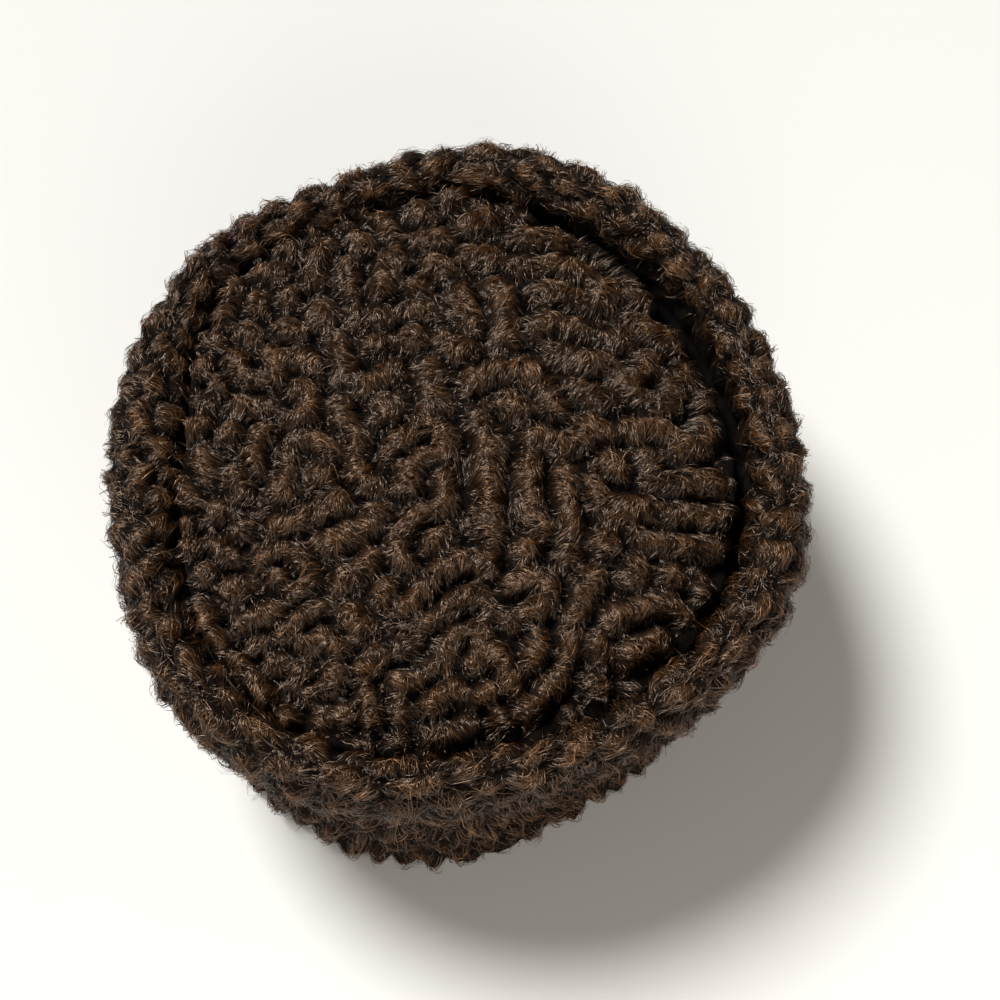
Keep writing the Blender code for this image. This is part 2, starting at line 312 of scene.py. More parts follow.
def comb_hairs(name, pelt, x, y, flow, seed, length):
    """Hairs rooted at (x, y) on a pelt, each a tapering ribbon that arches over its own curl.
    The hairs of a lock turn, bend and rise together, and their tips draw in to a point."""
    rng = np.random.default_rng(seed)
    _, _, _, across, phase, climb, swirl, spacing = pelt.at(x, y)
    own = nearest_lock(x, y, 7, LOCK_SIZE)
    flip = np.where((across * flow(x, y)).sum(1) < 0, -1.0, 1.0)
    flip *= np.where(own[:, 2] < 0.3, -1.0, 1.0)
    flip *= np.where(rng.random(len(x)) < 0.08, -1.0, 1.0)
    lean = swirl + 1.5 * (own[:, 3] - 0.5) + rng.normal(0, 0.14, len(x))
    uphill = np.where((across * flip[:, None] * climb).sum(1) > 0, 1.0, -1.0)
    room = spacing / 2 * (1 + uphill * phase) / np.maximum(np.cos(lean), 0.6)
    kept = room > 1.0
    x, y, own, room, lean = x[kept], y[kept], own[kept], room[kept], lean[kept]
    heading = turned(across[kept] * flip[kept, None], lean)
    count = len(x)
    reach = np.minimum(length * rng.uniform(0.75, 1.2, count) * (0.75 + 0.5 * own[:, 4]), 0.97 * room + 0.8)
    loose = rng.random(count) < LOOSE_HAIRS
    swerve = 2.2 * (own[:, 5] - 0.5) + rng.normal(0, 0.25, count)
    swerve += np.where(loose, rng.normal(0, 1.0, count), 0)
    rise = (0.3 + 1.5 * own[:, 4] ** 1.5) * rng.uniform(0.35, 1.5, count) * np.where(loose, 1.6, 1)
    tone = 0.35 * own[:, 5] + 0.65 * rng.random(count) ** 1.6
    px, py = x.copy(), y.copy()
    spine, facings, crests = [], [], []
    for step in range(HAIR_STEPS + 1):
        share = step / HAIR_STEPS
        pull = LOCK_GATHER * share**1.3
        hx = px + pull * (own[:, 0] - x)
        hy = py + pull * (own[:, 1] - y)
        skin, facing, crest, across = pelt.at(hx, hy)[:4]
        height = rise * (math.sin(math.pi * (0.08 + 0.7 * share)) + 0.25 * share) - 0.25 * (1 - share)
        point = skin + facing * height[:, None]
        if step > 2:
            ahead = 2 * spine[-1] - spine[-2]
            point += 0.5 * share * (ahead - point)
        spine.append(point)
        facings.append(facing)
        crests.append(crest)
        course = turned(across, lean)
        same = np.where((course * heading).sum(1) < 0, -1.0, 1.0)
        heading = 0.65 * heading + 0.35 * course * same[:, None]
        turn = np.arctan2(heading[:, 1], heading[:, 0]) + swerve / HAIR_STEPS
        heading = np.stack((np.cos(turn), np.sin(turn)), axis=1)
        px += reach / HAIR_STEPS * heading[:, 0]
        py += reach / HAIR_STEPS * heading[:, 1]
    led = (spine, facings, crests)
    spine, facings, crests = (np.stack([part[k] for k in HAIR_KEPT], 1) for part in led)
    tangent = np.gradient(spine, axis=1)
    side = np.cross(tangent, facings)
    side /= np.linalg.norm(side, axis=2, keepdims=True) + 1e-9
    roll = rng.normal(0, 0.5, count)[:, None, None]
    side = side * np.cos(roll) + facings * np.sin(roll)
    half = 0.5 * HAIR_WIDTH * rng.uniform(0.65, 1.35, count)[:, None, None]
    taper = np.array((0.9, 1.0, 0.75, 0.0))[None, :, None]
    left, right = spine - side * half * taper, spine + side * half * taper
    pairs = [edge[:, k] for k in range(3) for edge in (left, right)]
    points = np.stack(pairs + [spine[:, 3]], 1)
    normal = np.cross(side, tangent)
    normal /= np.linalg.norm(normal, axis=2, keepdims=True) + 1e-9
    round_left, round_right = normal * 0.75 - side * 0.65, normal * 0.75 + side * 0.65
    pairs = [edge[:, k] for k in range(3) for edge in (round_left, round_right)]
    normals = np.stack(pairs + [normal[:, 3]], 1)
    # The hairs' colour attribute: how far along the hair (for painted shade towards the root), the hair's
    # own tone, and the crest below (for painted shade in the partings).
    dye = np.empty((count, 7, 4), np.float32)
    dye[..., 0] = np.array((0, 0, 0.36, 0.36, 0.72, 0.72, 1.0))
    dye[..., 1] = tone[:, None]
    dye[..., 2] = crests[:, (0, 0, 1, 1, 2, 2, 3)]
    dye[..., 3] = 1
    return hair_mesh(name, points, normals, dye)


def hair_mesh(name, points, normals, dye):
    """One mesh of many hairs, each with a cell of its own in the map that the finish is kept on."""
    count = len(points)
    points = points.copy()
    points[..., 2] = np.maximum(points[..., 2], LOWEST_HAIR)
    mesh = bpy.data.meshes.new(name)
    mesh.vertices.add(count * 7)
    mesh.vertices.foreach_set("co", (points * MM).astype(np.float32).ravel())
    pattern = np.array((0, 1, 3, 2, 2, 3, 5, 4, 4, 5, 6))
    loops = (np.arange(count)[:, None] * 7 + pattern).ravel()
    mesh.loops.add(len(loops))
    mesh.loops.foreach_set("vertex_index", loops.astype(np.int32))
    mesh.polygons.add(count * 3)
    starts = (np.arange(count)[:, None] * 11 + np.array((0, 4, 8))).ravel()
    mesh.polygons.foreach_set("loop_start", starts.astype(np.int32))
    mesh.update()
    mesh.shade_smooth()
    cells = math.ceil(math.sqrt(count))
    column, row = np.arange(count) % cells, np.arange(count) // cells
    across = np.array((0.15, 0.85, 0.15, 0.85, 0.15, 0.85, 0.5))
    along = np.array((0.1, 0.1, 0.38, 0.38, 0.65, 0.65, 0.9))
    uv = np.stack(((column[:, None] + across) / cells, (row[:, None] + along) / cells), 2)
    uv_map = mesh.uv_layers.new(name="OFBake")
    uv_map.data.foreach_set("uv", uv[:, pattern].astype(np.float32).ravel())
    colour = mesh.color_attributes.new("dye", "FLOAT_COLOR", "POINT")
    colour.data.foreach_set("color", dye.ravel())
    normals = normals / (np.linalg.norm(normals, axis=2, keepdims=True) + 1e-9)
    mesh.normals_split_custom_set_from_vertices(normals.reshape(-1, 3))
    mesh.update()
    piece = bpy.data.objects.new(name, mesh)
    bpy.context.scene.collection.objects.link(piece)
    return piece


class Thread:
    """One socket's value in a finish, on which arithmetic adds the nodes for it."""

    def __init__(self, finish, socket):
        self.finish = finish
        self.socket = socket

    def math(self, operation, first, second=0.0):
        kinds = [side.socket.type for side in (first, second) if isinstance(side, Thread)]
        if "RGBA" in kinds:
            settings = {"data_type": "RGBA", "blend_type": operation, "clamp_result": False}
            return self.finish.node("ShaderNodeMix", settings, {0: 1.0, 6: first, 7: second}, 2)
        return self.finish.node("ShaderNodeMath", {"operation": operation}, {0: first, 1: second})

    def __add__(self, other):
        return self.math("ADD", self, other)

    def __radd__(self, other):
        return self.math("ADD", other, self)

    def __sub__(self, other):
        return self.math("SUBTRACT", self, other)

    def __rsub__(self, other):
        return self.math("SUBTRACT", other, self)

    def __mul__(self, other):
        return self.math("MULTIPLY", self, other)

    def __rmul__(self, other):
        return self.math("MULTIPLY", other, self)

    def __pow__(self, other):
        return self.math("POWER", self, other)


class Finish:
    """A material with a Principled shader, and the nodes that feed it."""

    def __init__(self, name):
        self.material = bpy.data.materials.new(name)
        self.material.use_nodes = True
        self.tree = self.material.node_tree
        self.shader = self.tree.nodes["Principled BSDF"]

    def node(self, kind, settings=None, sockets=None, out=0):
        """A node of any kind: its settings are set first, then its sockets' values or links."""
        made = self.tree.nodes.new(kind)
        for name, value in (settings or {}).items():
            if name == "stops":
                ramp = made.color_ramp.elements
                while len(ramp) < len(value):
                    ramp.new(1.0)
                for element, (place, colour) in zip(ramp, value):
                    element.position = place
                    element.color = (*colour, 1)
            else:
                setattr(made, name, value)
        for name, value in (sockets or {}).items():
            self.put(made.inputs[name], value)
        return Thread(self, made.outputs[out])

    def put(self, socket, value):
        if isinstance(value, Thread):
            self.tree.links.new(value.socket, socket)
        elif socket.type == "RGBA":
            socket.default_value = (value,) * 3 + (1,) if isinstance(value, (int, float)) else (*value, 1)
        else:
            socket.default_value = value

    def mix(self, share, first, second):
        """A colour between two, by a share."""
        return self.node("ShaderNodeMix", {"data_type": "RGBA"}, {0: share, 6: first, 7: second}, 2)

    def wear(self, **sockets):
        """Values or links for the shader's own sockets, by name with _ for a space."""
        for name, value in sockets.items():
            self.put(self.shader.inputs[name.replace("_", " ")], value)
        return self.material


def fur_finish(name, dark, middle, light):
    """Glossy lamb hair, with painted shade: dark at the root and in the partings, warmer and lighter over
    the crests.
    """
    finish = Finish(name)
    dye = finish.node("ShaderNodeAttribute", {"attribute_name": "dye"})
    parts = finish.node("ShaderNodeSeparateColor", {}, {0: dye})
    along, tone, crest = (Thread(finish, parts.socket.node.outputs[k]) for k in range(3))
    stops = ((0.0, dark), (0.6, middle), (1.0, light))
    colour = finish.node("ShaderNodeValToRGB", {"stops": stops}, {0: tone})
    # Painted shade: the colour darkens into the partings (low crest) and towards each hair's root, down to a
    # near-black parting colour.
    shade = (0.02 + 0.98 * crest**2.2) * (0.35 + 0.65 * along)
    parting_shade = (0.0012, 0.0006, 0.0003)
    gloss = (1.0, 0.75, 0.58)
    shaded_hair_colour = finish.mix(shade, parting_shade, colour)
    return finish.wear(Base_Color=shaded_hair_colour, Roughness=0.3, Specular_IOR_Level=0.5, Specular_Tint=gloss)


def pelt_finish(name, dark, light):
    """The skin and underfur between the hairs, with painted shade: nearly black in the partings, brown on
    the crests.
    """
    finish = Finish(name)
    dye = finish.node("ShaderNodeAttribute", {"attribute_name": "dye"})
    parts = finish.node("ShaderNodeSeparateColor", {}, {0: dye})
    crest = Thread(finish, parts.socket.node.outputs[2])
    grain = finish.node("ShaderNodeTexNoise", {}, {"Scale": 900.0, "Detail": 4.0, "Roughness": 0.7})
    # Painted shade: dark in the partings and light on the crests, broken by a fine grain.
    colour = finish.mix(crest**2 * grain, dark, light)
    bump = finish.node("ShaderNodeBump", {}, {"Strength": 0.6, "Distance": 0.0006, "Height": grain})
    return finish.wear(Base_Color=colour, Roughness=0.8, Specular_IOR_Level=0.05, Normal=bump)


def skin_finish(name, colour):
    """The bare skin side of the lamb fur, brushed like suede."""
    finish = Finish(name)
    nap = finish.node("ShaderNodeTexNoise", {}, {"Scale": 1400.0, "Detail": 3.0})
    cloud = finish.node("ShaderNodeTexNoise", {}, {"Scale": 40.0, "Detail": 3.0})
    tint = finish.mix(cloud, [0.7 * value for value in colour], [1.3 * value for value in colour])
    bump = finish.node("ShaderNodeBump", {}, {"Strength": 0.4, "Distance": 0.0003, "Height": nap})
    return finish.wear(Base_Color=tint, Roughness=0.9, Normal=bump)


def ring_form(section, rows, columns):
    """The form of a ring's furred side as a sheet in space, from its even section."""
    angle = math.tau * np.arange(columns) / columns
    line = even_section(section(angle), rows)
    radius, height = line[..., 0].T, line[..., 1].T
    return on_ring(angle, radius, height)


def cell_corners(u, v, du, dv):
    """The four corners of each cell of a finish map, in the order of its face."""
    steps = ((0, 0), (1, 0), (1, 1), (0, 1))
    return np.stack([np.stack((u + i * du, v + j * dv), -1) for i, j in steps], -2).reshape(-1, 2)


def ring_base(name, pelt, columns, rows, inner_line, fur, skin):
    """The pelt itself as a closed ring: its curls outside, and plain inside along inner_line."""
    angle = math.tau * np.arange(columns) / columns
    x = pelt.size[0] * np.arange(columns)[None, :] / columns * np.ones((rows, 1))
    y = pelt.size[1] * np.arange(rows)[:, None] / (rows - 1) * np.ones((1, columns))
    outside, _, crest = pelt.at(x, y)[:3]
    inside = []
    for radius, height in inner_line(angle):
        radius, height = np.broadcast_arrays(radius, height, np.zeros(columns))[:2]
        inside.append(on_ring(angle, radius, height))
    places = np.concatenate((outside, np.array(inside)))
    total = len(places)
    places[..., 2] = np.maximum(places[..., 2], 0)
    crests = np.concatenate((crest, np.zeros((total - rows, columns))))
    index = np.arange(total * columns).reshape(total, columns)
    right = np.roll(index, -1, 1)
    up, up_right = np.roll(index, -1, 0), np.roll(right, -1, 0)
    faces = np.stack((index, right, up_right, up), 2).reshape(-1, 4)
    u = (np.arange(columns) / columns)[None, :] * np.ones((total, 1))
    v = (np.arange(total) / total)[:, None] * np.ones((1, columns))
    corners = cell_corners(u, v, 1 / columns, 1 / total)
    furred = np.repeat(np.arange(total) < rows, columns)
    piece = base_mesh(name, places.reshape(-1, 3), faces, corners, crests.ravel())
    piece.data.materials.append(fur)
    piece.data.materials.append(skin)
    piece.data.polygons.foreach_set("material_index", np.where(furred, 0, 1).astype(np.int32))
    return piece


def base_mesh(name, places, faces, uv, crests):
    """A mesh of quads with its finish map and the height of its curls, which paints shade in the partings.
    """
    mesh = bpy.data.meshes.new(name)
    mesh.vertices.add(len(places))
    mesh.vertices.foreach_set("co", (places * MM).astype(np.float32).ravel())
    mesh.loops.add(faces.size)
    mesh.loops.foreach_set("vertex_index", faces.astype(np.int32).ravel())
    mesh.polygons.add(len(faces))
    mesh.polygons.foreach_set("loop_start", (np.arange(len(faces)) * 4).astype(np.int32))
    mesh.update()
    mesh.shade_smooth()
    uv_map = mesh.uv_layers.new(name="OFBake")
    uv_map.data.foreach_set("uv", uv.astype(np.float32).ravel())
    dye = np.ones((len(places), 4), np.float32)
    dye[:, 2] = crests
    colour = mesh.color_attributes.new("dye", "FLOAT_COLOR", "POINT")
    colour.data.foreach_set("color", dye.ravel())
    piece = bpy.data.objects.new(name, mesh)
    bpy.context.scene.collection.objects.link(piece)
    return piece


def scatter(pelt, count, seed, inside=None, rows=(0.0, 1.0)):
    """Places for hairs, at random over a pelt or over the part of it where inside says so."""
    rng = np.random.default_rng(seed)
    x = rng.uniform(0, pelt.size[0], count)
    y = rng.uniform(rows[0] * pelt.size[1], rows[1] * pelt.size[1], count)
    if inside is None:
        return x, y
    keep = inside(x, y)
    return x[keep], y[keep]


def wear_hairs(name, pelt, x, y, flow, seed, fur, pieces, length):
    """Comb hairs over a pelt in several pieces that all follow the hat."""
    for part in range(pieces):
        chosen = slice(part, None, pieces)
        title = f"{name}_{part + 1}"
        hairs = comb_hairs(title, pelt, x[chosen], y[chosen], flow, seed + 10 * part, length)
        hairs.data.materials.append(fur)
        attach(hairs, "root")


def band_section(angle):
    """The band's furred side, from its lower edge up to the shelf under the cuff."""
    foot = head_radius(angle) + WALL * outline("wall", angle)
    shelf = HAT_HEIGHT - CUFF_HEIGHT
    high = shelf - SHELF_ROUND
    points = arc((foot - BAND_ROUND, BAND_ROUND), BAND_ROUND, BAND_ROUND, -90, 0, 6)
    points += arc((foot - SHELF_ROUND, high), SHELF_ROUND, SHELF_ROUND, 0, 90, 6)
    points.append((head_radius(angle) + NECK, shelf))
    return points


def band_inside(angle):
    """The band's hidden neck, its top under the crown and its bare inner side."""
    head = head_radius(angle)
    top = tip_edge_height(angle) - TIP_THICKNESS - 0.5
    inner = head + 0.2
    return [(head + NECK, top), (inner, top), (inner, 40.0), (inner, 20.0), (inner, 1.0), (inner + 1.0, 0.0)]


BAND_PITCH = 9.5
BAND_WIDTH = 660
BAND_ROWS = 116
waves = curl_waves(BAND_WIDTH * 2, BAND_ROWS + 24, BAND_PITCH, 3, longest=1.0)
band_pelt = Pelt(ring_form(band_section, BAND_ROWS, BAND_WIDTH * 2), waves, BAND_PITCH, True)
# Painted light: the band's hair is a lighter copy of the crown's lamb hair, so the band stands brighter.
band_fur = fur_finish(
    "band_lamb_hair",
    dark=(0.011, 0.0038, 0.0006),
    middle=(0.094, 0.0350, 0.0080),
    light=(0.30, 0.162, 0.078),
)
band_skin = skin_finish("band_bare_skin", (0.030, 0.020, 0.014))
# The underfur's dark colour is painted shade in the partings; its light colour is the brown on the crests.
pelt_colour = pelt_finish("lamb_underfur", (0.0012, 0.0006, 0.0004), (0.020, 0.011, 0.006))
side_band = ring_base("side_band_pelt", band_pelt, 420, 28, band_inside, pelt_colour, band_skin)
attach(side_band, "root")
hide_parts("side_band")


def outward(x, y):
    """Down the sides and outward: the lie of the fur on the rings."""
    return np.stack((0.5 * np.sin(x / 40.0), -np.ones_like(y)), 1)


x, y = scatter(band_pelt, 26000, 31, rows=(0.03, 0.92))
wear_hairs("side_band_hairs", band_pelt, x, y, outward, 33, band_fur, 1, length=6.0)

# CROWN TIP. The real piece is an oval of lamb fur, padded a little, that closes the hat's top. Its edge
# is sewn in deep beside the cuff, on the right and in front deeper than elsewhere, and its middle
# stands up nearly as high as the cuff.

TIP_DROP = 2.0
DOME_POWER = 3
CREVICE_CLOSE = 0.3  # how much of the crevice's depth the fur closes where it is shallow
CROWN_PITCH = 11.0
CROWN_SWELL = 0.0016  # how much coarser the curls grow from the back left of the crown to the front right

# The crown's main curls and its deepest partings as read off the photograph, in mm from the
# middle of the head's oval, to the right and to the back.
CROWN_CURLS = (
    ((8, 13), (8, 6), (11, -1), (9, -9), (10, -19), (10, -28), (11, -37), (9, -45)),
    ((8, 13), (14, 14), (22, 13)),
    ((4, 21), (10, 24), (17, 26), (26, 25), (29, 20), (31, 12)),
    ((22, 1), (31, 1), (32, -4)),
    ((25, -2), (23, -10), (23, -20), (25, -28), (28, -32)),
    ((22, -36), (21, -42)),
    ((18, -48), (25, -46), (29, -51), (27, -56), (20, -60), (15, -61)),
    ((-8, 28), (-6, 20), (-6, 13), (-11, 7), (-8, 2), (-1, 1)),
    ((-1, -4), (-6, -4), (-12, -7), (-16, -12), (-13, -18)),
    ((-4, -13), (-3, -19), (-5, -24), (-12, -27), (-17, -33), (-17, -40), (-13, -45)),
    ((-6, -34), (-3, -38)),
    ((-8, -46), (0, -43), (8, -40)),
    ((-13, 2), (-18, -2), (-21, -7)),
    ((-22, 15), (-22, 11)),
    ((-31, 20), (-21, 26)),
    ((34, -11), (35, -22), (36, -31), (35, -41)),
    ((42, -33), (48, -35)),
    ((42, -14), (44, -22), (50, -27), (57, -29)),
    ((40, -45), (38, -53), (35, -59), (36, -66), (33, -72)),
    ((38, 0), (39, 6), (45, 6), (48, 2)),
    ((47, -7), (54, -6)),
    ((54, 5), (62, 8), (70, 7)),
    ((56, -1), (62, -3), (63, -9), (62, -14)),
    ((68, -3), (73, 2), (79, 8), (86, 15)),
    ((67, -13), (72, -9), (80, -10), (87, -9)),
    ((46, -20), (54, -23), (62, -22), (70, -23), (77, -22), (85, -20)),
    ((56, -31), (64, -32), (72, -33), (81, -31)),
    ((55, -41), (54, -47)),
    ((67, -41), (67, -48)),
    ((76, -42), (75, -49)),
    ((46, -60), (55, -54), (63, -52), (71, -54), (72, -60)),
    ((50, -70), (56, -66), (64, -62)),
    ((41, -64), (45, -70)),
    ((35, 24), (41, 22), (47, 17)),
    ((33, 40), (36, 33), (43, 29), (48, 32), (55, 34)),
    ((53, 27), (57, 22), (60, 29), (64, 37)),
    ((62, 16), (67, 21), (72, 29), (77, 34), (81, 39)),
    ((81, 22), (83, 28)),
    ((70, 43), (75, 45), (77, 50), (75, 56)),
    ((30, 49), (35, 47), (41, 45)),
    ((48, 46), (54, 45), (58, 42)),
    ((56, 54), (61, 51), (66, 48), (70, 52)),
    ((13, 60), (16, 50), (17, 40)),
    ((23, 47), (26, 42)),
    ((30, 62), (39, 60)),
    ((48, 60), (50, 66), (51, 75)),
    ((58, 64), (59, 72), (60, 79)),
    ((64, 64), (67, 66)),
    ((74, 73), (78, 66), (80, 61)),
    ((21, 72), (26, 73), (32, 77), (37, 74), (43, 73)),
    ((26, 84), (28, 90)),
    ((33, 84), (37, 90)),
    ((46, 89), (53, 85), (53, 79)),
    ((-7, -46), (-9, -52), (-14, -58)),
    ((-10, -63), (-4, -59), (2, -56), (8, -52)),
    ((-13, -65), (-13, -71)),
    ((-9, -76), (-2, -74), (0, -68), (2, -63)),
    ((7, -61), (7, -70), (8, -74)),
    ((11, -56), (10, -65), (14, -73), (18, -78), (19, -84)),
    ((4, -84), (10, -84), (13, -80)),
    ((-16, -81), (-9, -79)),
    ((-7, -86), (-2, -83), (2, -80)),
    ((-15, -85), (-14, -91)),
    ((14, -87), (15, -93)),
    ((20, -89), (24, -85), (29, -80), (32, -76)),
    ((24, -63), (27, -67), (23, -73)),
    ((-53, -32), (-46, -28), (-41, -25), (-36, -21)),
    ((-40, -37), (-33, -35), (-26, -31), (-22, -26)),
    ((-34, -50), (-28, -46), (-23, -41)),
    ((-31, -59), (-27, -65)),
    ((-58, -47), (-57, -41), (-50, -38), (-45, -42), (-42, -49), (-47, -53)),
    ((-51, -46), (-51, -48)),
    ((-63, -65), (-57, -61), (-51, -59)),
    ((-67, -51), (-60, -49)),
    ((-50, -67), (-45, -62), (-39, -56)),
    ((-57, -69), (-55, -68)),
    ((-74, -57), (-70, -64), (-66, -70)),
    ((-63, -73), (-57, -78), (-54, -85)),
    ((-44, -68), (-38, -66), (-33, -70)),
    ((-44, -79), (-44, -77)),
    ((-40, -84), (-35, -82), (-33, -76)),
    ((-36, -89), (-28, -89)),
    ((-24, -84), (-22, -92)),
    ((-72, -36), (-66, -40)),
    ((-60, 4), (-62, -2), (-61, -10)),
    ((-53, -2), (-51, -9), (-54, -17), (-51, -21)),
    ((-50, 0), (-45, 1), (-40, -1), (-35, -4)),
    ((-37, 14), (-35, 5), (-31, 0), (-30, -8), (-28, -14), (-22, -17)),
    ((-48, 20), (-44, 13), (-46, 8), (-52, 8)),
    ((-60, 24), (-58, 32), (-51, 33), (-45, 28)),
    ((-66, 12), (-59, 12)),
    ((-67, -12), (-65, -18)),
    ((-39, 36), (-36, 29), (-33, 24)),
)
CROWN_PARTINGS = (
    ((29, 9), (22, 7), (18, 4), (17, -5), (17, -14), (16, -22), (17, -30), (15, -36), (15, -47)),
    ((3, 18), (2, 12), (0, 7), (3, 0), (2, -8), (2, -14), (3, -20), (2, -27), (-1, -30), (3, -34)),
    ((7, 19), (16, 20), (25, 18)),
    ((-9, -12), (-8, -14)),
    ((-12, -36), (-12, -39)),
    ((43, -1), (44, -1)),
    ((18, -53), (18, -57)),
    ((-6, -66), (-5, -68)),
    ((7, -78), (8, -79)),
    ((52, -16), (60, -17), (70, -17), (80, -17)),
    ((50, -42), (47, -48), (43, -56), (46, -63)),
    ((-56, -45), (-55, -52)),
    ((61, -45), (62, -46)),
    ((72, -46), (72, -47)),
    ((66, -7), (67, -7)),
    ((-30, 16), (-30, 12)),
    ((-52, 15), (-50, 14)),
    ((-20, -77), (-17, -76)),
    ((-26, -56), (-22, -52)),
    ((-48, -85), (-46, -83)),
    ((-60, 84), (-50, 86)),
    ((-48, 63), (-47, 62)),
)
CROWN_SHEET = 240.0  # side of the square sheet that the crown's fur is worked out on


def crown_place(x, y):
    """Share of the crown's radius and angle of places on its sheet, from the sheet's middle."""
    angle = np.arctan2(y, x) % math.tau
    return np.hypot(x, y) / (head_radius(angle) + NECK), angle


def deep_crevice(angle):
    """From 0 where the crevice beside the crown is shallow to 1 where it is deep."""
    return np.clip(outline("sink", angle) / 0.45 - 1.2, 0, 1)


def crown_height(share, angle):
    """Height of the crown's top: level in the middle, sinking to its edge and rounded there."""
    middle = HAT_HEIGHT - TIP_DROP
    edge = tip_edge_height(angle) + CREVICE_CLOSE * CREVICE_DEPTH * (1 - outline("sink", angle))
    return edge + (middle - edge) * (1 - np.minimum(share, 1.05) ** DOME_POWER)


side = round(CROWN_SHEET / CELL)
grid_y, grid_x = (np.mgrid[0:side, 0:side] - side / 2) * CELL
share, angle = crown_place(grid_x, grid_y)
form = np.stack((grid_x + HAT_MIDDLE[0], grid_y + HAT_MIDDLE[1], crown_height(share, angle)), 2)


def swell(places):
    """Places on the crown (as complex numbers) on a sheet where all curls have one pitch."""
    return places - CROWN_SWELL * complex(0.7071, -0.7071) * places**2


def swollen(table):
    """Charted lines on that sheet."""
    lines = []
    for line in table:
        places = swell(np.array([complex(*point) for point in line]))
        lines.append(np.stack((places.real, places.imag), 1) + GROWING_SHEET / 2)
    return lines


GROWING_SHEET = 260.0
grown = curl_waves(520, 520, CROWN_PITCH, 11, swollen(CROWN_CURLS), swollen(CROWN_PARTINGS))
places = swell(grid_x + 1j * grid_y)
waves = look_up(grown, (places.real + GROWING_SHEET / 2) / CELL, (places.imag + GROWING_SHEET / 2) / CELL)
spacing = CROWN_PITCH / np.abs(1 - 2 * CROWN_SWELL * complex(0.7071, -0.7071) * (grid_x + 1j * grid_y))
crown_pelt = Pelt(form, waves, CROWN_PITCH, False, spacing=spacing)
# Painted shade: near the crown's edge, where the crevice is deep, the crest is lowered, and as the skin is
# already laid only the colour darkens.
crown_pelt.layers[..., 6] *= 1 - 0.8 * deep_crevice(angle) * np.clip((share - 0.93) / 0.05, 0, 1)

CROWN_CELLS = 140
step = np.linspace(-1, 1, CROWN_CELLS + 1)
gx, gy = np.meshgrid(step, step)
disc_x, disc_y = gx * np.sqrt(1 - gy**2 / 2), gy * np.sqrt(1 - gx**2 / 2)
share, angle = np.hypot(disc_x, disc_y), np.arctan2(disc_y, disc_x) % math.tau
radius = share * (head_radius(angle) + NECK - CLEARANCE)
x = radius * np.cos(angle) + CROWN_SHEET / 2
y = radius * np.sin(angle) + CROWN_SHEET / 2
top, _, crest = crown_pelt.at(x, y)[:3]
index = np.arange((CROWN_CELLS + 1) ** 2).reshape(CROWN_CELLS + 1, -1)
quads = np.stack((index[:-1, :-1], index[:-1, 1:], index[1:, 1:], index[1:, :-1]), 2).reshape(-1, 4)
places, faces, crests = [top.reshape(-1, 3)], [quads], [crest.ravel()]
cell = 0.72 / CROWN_CELLS
u, v = np.meshgrid(np.arange(CROWN_CELLS) * cell, np.arange(CROWN_CELLS) * cell)
corners = [cell_corners(u, v, cell, cell)]
rim = np.concatenate((index[0, :-1], index[:-1, -1], index[-1, :0:-1], index[:0:-1, 0]))
rim_angle = np.arctan2(disc_y.ravel()[rim], disc_x.ravel()[rim]) % math.tau
head = head_radius(rim_angle)
seat = tip_edge_height(rim_angle) - TIP_THICKNESS
under_middle = HAT_HEIGHT - TIP_DROP - TIP_THICKNESS
rings = [(head + NECK - CLEARANCE, seat + 1.0), (head + NECK - 1.3, seat), (head, seat)]
rings += [(head * s, seat + (under_middle - seat) * (1 - s**2.5)) for s in (0.85, 0.68, 0.5, 0.32, 0.14)]
before = rim
total = len(places[0])
for k, (radius, height) in enumerate(rings):
    ring = on_ring(rim_angle, radius, height)
    now = total + np.arange(len(rim))
    total += len(rim)
    places.append(ring)
    crests.append(np.zeros(len(rim)))
    faces.append(np.stack((before, now, np.roll(now, -1), np.roll(before, -1)), 1))
    n = np.arange(len(rim)) / len(rim)
    dv = 0.2 / len(rings)
    low = 0.75 + k * dv
    steps = ((0, 0), (0, 1), (1, 1), (1, 0))
    cells = [np.stack((n + i / len(rim), np.full(len(rim), low + j * dv)), 1) for i, j in steps]
    corners.append(np.stack(cells, 1).reshape(-1, 2))
    before = now
crown = base_mesh("crown_tip_pelt", *[np.concatenate(part) for part in (places, faces, corners, crests)])
crown.data.materials.append(pelt_colour)
crown.data.materials.append(band_skin)
slots = np.ones(len(crown.data.polygons), np.int32)
slots[: CROWN_CELLS**2 + 2 * len(rim)] = 0
crown.data.polygons.foreach_set("material_index", slots)
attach(crown, "root")
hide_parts("crown_tip")


def crown_flow(x, y):
    """Towards the front and outward: the lie of the fur on the crown."""
    return np.stack(((x - CROWN_SHEET / 2) / 120 + 0.3, -np.ones_like(y)), 1)


def on_crown(x, y):
    """Where hairs grow: nearly out to the crown's edge, and less far where the crevice is deep."""
    share, angle = crown_place(x - CROWN_SHEET / 2, y - CROWN_SHEET / 2)
    return share < 0.99 - 0.03 * deep_crevice(angle)


crown_hair = fur_finish(
    "crown_lamb_hair",
    dark=(0.008, 0.0026, 0.0005),
    middle=(0.050, 0.0190, 0.0046),
    light=(0.23, 0.130, 0.066),
)
x, y = scatter(crown_pelt, 178000, 41, on_crown)
wear_hairs("crown_tip_hairs", crown_pelt, x, y, crown_flow, 43, crown_hair, 3, length=5.0)

# ROLLED CUFF. The real piece is a second strip of lamb fur, folded over padding into a thick soft roll
# that is turned up round the hat and sewn to the band inside its lower edge. It is thicker on the left
# than in front and leans in a little towards its lower edge.

CREST_ROUND = 10.5
CUFF_TUCK = 10.0
CUFF_LEAN = 5.0
LEAN_POWER = 1.5
CUFF_BULGE = 1.5
CUFF_PITCH = 11.5
CUFF_FUR_END = 15.0  # how far above the cuff's lower edge its fur ends, down in the crevice


